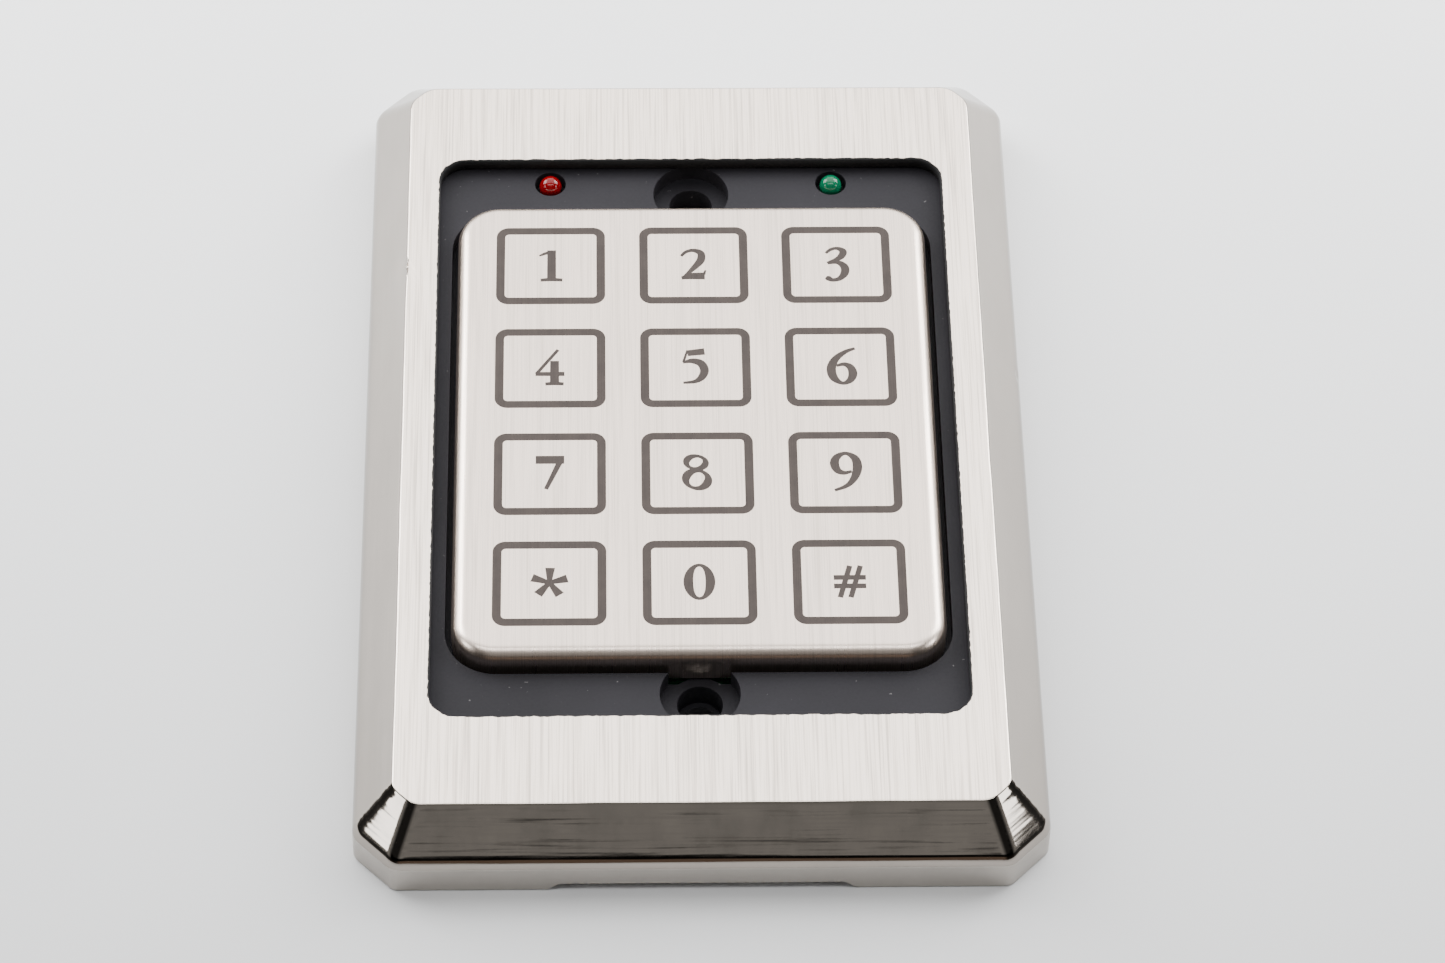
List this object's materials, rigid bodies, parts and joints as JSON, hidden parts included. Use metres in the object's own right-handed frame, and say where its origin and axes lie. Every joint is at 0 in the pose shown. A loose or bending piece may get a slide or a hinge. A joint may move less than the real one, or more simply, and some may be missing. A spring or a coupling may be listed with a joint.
{
  "type": "keypad access reader",
  "caption": "Surface-mounted keypad access reader: cast metal surround, black fascia with two indicator lamps, and a one-piece metal keypad with digit keys.",
  "frame": {"origin": "centre of the flat rear rim, on the surface the reader lies on or mounts to", "axes": "+Z out of the front face, +Y to the top of the keypad, +X to the right as the keys read"},
  "size_m": [0.0866, 0.1296, 0.0122],
  "materials": {
    "cast_metal": "brushed front face, polished bevels",
    "keypad_steel": "vertical brushed grain with etched grey key frames",
    "black_moulding": "fine matt moulded surface",
    "rubber": "soft matt",
    "foam": "closed-cell foam",
    "disc_brass": "plain brass with a grey ceramic face",
    "adhesive_sheet": "cream adhesive foam sheet",
    "plated_contact": "thin gold plating",
    "circuit_board": "green solder mask",
    "tinned_can": "drawn can",
    "chip_package": "moulded epoxy",
    "buzzer_case": "moulded",
    "white_nylon": "natural nylon",
    "switch_case": "moulded",
    "plunger_plastic": "moulded acetal",
    "spring_wire": "drawn wire",
    "zinc_screw": "bright zinc plate",
    "red_lens": "tinted epoxy lens",
    "green_lens": "tinted epoxy lens"
  },
  "bodies": {
    "reader": {"bezel_casting": "cast_metal", "window_gasket": "rubber", "fascia_housing": "black_moulding", "keypad_cap": "keypad_steel", "cap_seal": "foam", "cap_retainer": "black_moulding", "piezo_discs": "disc_brass", "disc_spacer": "adhesive_sheet", "contact_pads": "plated_contact", "sensor_board": "circuit_board", "interboard_header": "black_moulding", "interboard_pins": "plated_contact", "main_circuit_board": "circuit_board", "crystal": "tinned_can", "capacitors": "tinned_can", "voltage_regulator": "chip_package", "buzzer": "buzzer_case", "led_sleeves": "black_moulding", "wiring_header": "white_nylon", "header_pins": "plated_contact", "tamper_switch_body": "switch_case", "tamper_spring": "spring_wire", "cover_seal": "rubber", "rear_cover": "black_moulding", "wall_gasket": "foam", "housing_screws": "zinc_screw", "board_screws": "zinc_screw", "cover_screws": "zinc_screw", "microcontroller": "chip_package", "line_driver": "chip_package", "red_led": "red_lens", "green_led": "green_lens"},
    "plunger": {"tamper_plunger": "plunger_plastic"}
  },
  "joints": [
    {"name": "tamper_plunger_slide", "type": "slide", "parent": "reader", "child": "plunger", "axis": [0, 0, -1], "range_m": [0, 0.0015], "stiffness_N_per_m": 100, "springref_m": 0.0035, "deforming": ["tamper_spring"]}
  ]
}
